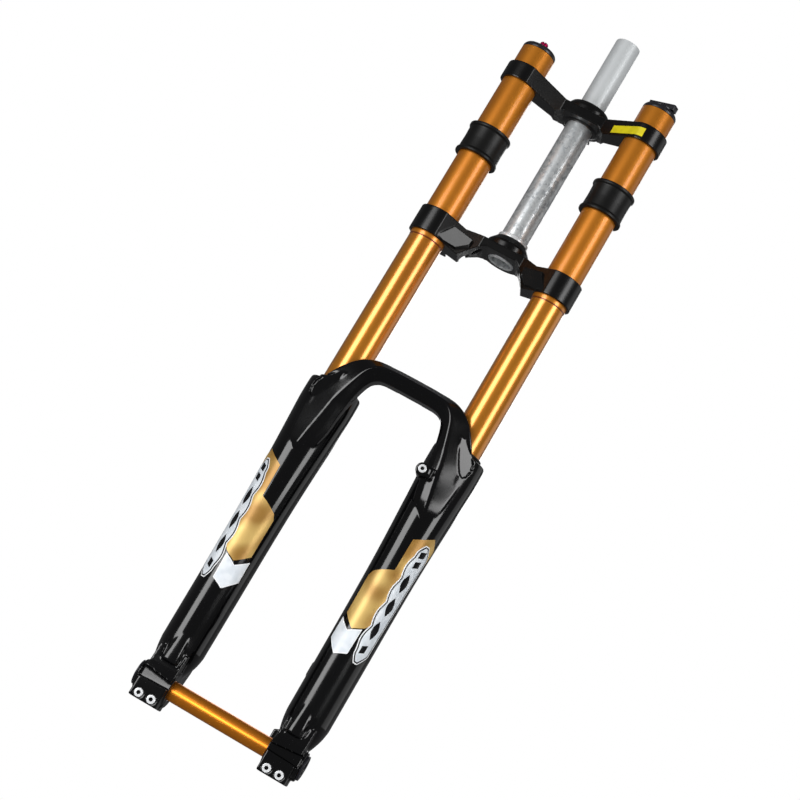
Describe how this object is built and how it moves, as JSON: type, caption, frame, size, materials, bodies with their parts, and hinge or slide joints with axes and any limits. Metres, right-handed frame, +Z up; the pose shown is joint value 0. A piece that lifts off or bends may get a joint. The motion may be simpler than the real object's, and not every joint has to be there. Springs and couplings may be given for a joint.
{
  "type": "suspension fork",
  "caption": "Bicycle suspension fork for downhill use: steerer tube, clamping crowns, gold stanchions sliding in a black lower casting with arch, brake posts and through axle.",
  "frame": {"origin": "on the steering axis, where the crown race seats on top of the lower crown", "axes": "+Z up along the steering axis, -Y to the front of the bicycle, +X to the rider's left (brake side)"},
  "size_m": [0.2018, 0.1154, 0.866],
  "materials": {
    "steerer_metal": "satin grey, spangled between the crowns",
    "satin_black": "satin black anodising",
    "gloss_black": "gloss black paint",
    "gold": "bright gold anodising",
    "cap_black": "black anodising",
    "magenta": "magenta anodising",
    "rubber": "matte black",
    "nylon": "dark grey",
    "bushing": "dull bronze",
    "bright_steel": "bright plated"
  },
  "bodies": {
    "steering": {"steerer_tube": "steerer_metal", "lower_crown": "satin_black", "upper_crown": "satin_black", "stanchion_left": "gold", "stanchion_right": "gold", "cartridge_head": "gold", "top_cap_left": "cap_black", "top_cap_right": "cap_black", "frame_bumper_left": "rubber", "frame_bumper_right": "rubber", "stanchion_foot_left": "nylon", "stanchion_foot_right": "nylon", "crown_race_ring": "bright_steel", "lower_crown_bolt_left_upper": "bright_steel", "lower_crown_bolt_left_lower": "bright_steel", "lower_crown_bolt_right_upper": "bright_steel", "lower_crown_bolt_right_lower": "bright_steel", "upper_crown_bolt_left": "bright_steel", "upper_crown_bolt_right": "bright_steel", "steerer_clamp_bolt": "bright_steel", "coil_spring": "bright_steel", "damper_cartridge": "bright_steel"},
    "lowers": {"lower_casting": "gloss_black", "wiper_seal_left": "rubber", "wiper_seal_right": "rubber", "bushing_left_upper": "bushing", "bushing_left_lower": "bushing", "bushing_right_upper": "bushing", "bushing_right_lower": "bushing", "damper_rod": "bright_steel", "damper_piston": "bushing", "spring_rod": "bright_steel", "spring_seat": "nylon", "foot_bolt_left": "bright_steel", "foot_bolt_right": "bright_steel", "axle_pinch_bolt_left_inner": "bright_steel", "axle_pinch_bolt_left_outer": "bright_steel", "axle_pinch_bolt_right_inner": "bright_steel", "axle_pinch_bolt_right_outer": "bright_steel", "through_axle": "gold", "axle_end_cap": "cap_black", "hose_guide_screw": "bright_steel"},
    "damper_knob": {"damper_dial": "magenta"},
    "preload_knob": {"preload_dial": "cap_black"},
    "preload_screw": {"preload_plunger": "nylon"}
  },
  "joints": [
    {"name": "lowers_slide", "type": "slide", "parent": "steering", "child": "lowers", "axis": [0, 0, 1], "range_m": [0, 0.135], "stiffness_N_per_m": 8000, "springref_m": -0.01, "deforming": ["coil_spring"]},
    {"name": "damper_turn", "type": "hinge", "parent": "steering", "child": "damper_knob", "pos_m": [-0.072, -0.044, 0.192], "axis": [0, 0, 1], "range_deg": [0, 270]},
    {"name": "preload_turn", "type": "hinge", "parent": "steering", "child": "preload_knob", "pos_m": [0.072, -0.044, 0.192], "axis": [0, 0, 1], "range_deg": [0, 720]},
    {"name": "preload_rise", "type": "slide", "parent": "steering", "child": "preload_screw", "axis": [0, 0, 1], "range_m": [0, 0.004]}
  ],
  "couplings": [
    {"joint": "preload_rise", "follows": "preload_turn", "m_per_rad": 0.000318}
  ]
}
